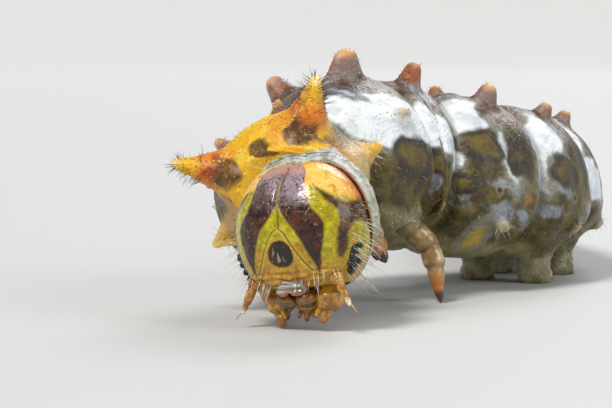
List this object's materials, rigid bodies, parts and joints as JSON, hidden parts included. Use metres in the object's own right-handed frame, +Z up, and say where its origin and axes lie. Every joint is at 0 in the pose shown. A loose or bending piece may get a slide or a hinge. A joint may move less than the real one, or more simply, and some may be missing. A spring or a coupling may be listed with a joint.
{
  "type": "young swallowtail larva",
  "caption": "Life-size young swallowtail larva in its bird-dropping colours, front bent towards the viewer, with fleshy horns and tubercles, a glossy patterned head and stubby prolegs.",
  "frame": {"origin": "on the floor, at the middle of the box round the whole larva, seen from above", "axes": "+Z up; the head looks towards -Y and a little to -X, the tail lies towards +Y, and +X is on the larva's left"},
  "size_m": [0.01, 0.0219, 0.0055],
  "materials": {
    "head_capsule": "glossy horny shell, yellow with dark red-brown marks",
    "eye": "polished black",
    "mouthparts": "translucent amber",
    "collar_membrane": "soft moist membrane",
    "thorax_skin": "soft skin, yellow with brown marks",
    "abdomen_skin": "soft skin, white and olive brown",
    "leg": "pale horny legs with brown claws"
  },
  "bodies": {
    "root": {"head": "head_capsule", "neck": "collar_membrane", "labrum": "mouthparts", "labium": "mouthparts", "eye_left": "eye", "eye_right": "eye", "antenna_left": "mouthparts", "antenna_right": "mouthparts", "mandible_left": "mouthparts", "mandible_right": "mouthparts", "maxilla_left": "mouthparts", "maxilla_right": "mouthparts", "thorax_1": "thorax_skin", "thorax_2": "thorax_skin", "thorax_3": "thorax_skin", "abdomen_1": "abdomen_skin", "abdomen_2": "abdomen_skin", "abdomen_3": "abdomen_skin", "abdomen_4": "abdomen_skin", "abdomen_5": "abdomen_skin", "abdomen_6": "abdomen_skin", "abdomen_7": "abdomen_skin", "abdomen_8": "abdomen_skin", "abdomen_9": "abdomen_skin", "abdomen_10": "abdomen_skin", "leg_1_left": "leg", "leg_1_right": "leg", "leg_2_left": "leg", "leg_2_right": "leg", "leg_3_left": "leg", "leg_3_right": "leg", "proleg_3_left": "abdomen_skin", "proleg_3_right": "abdomen_skin", "proleg_4_left": "abdomen_skin", "proleg_4_right": "abdomen_skin", "proleg_5_left": "abdomen_skin", "proleg_5_right": "abdomen_skin", "proleg_6_left": "abdomen_skin", "proleg_6_right": "abdomen_skin", "proleg_10_left": "abdomen_skin", "proleg_10_right": "abdomen_skin"}
  },
  "joints": []
}
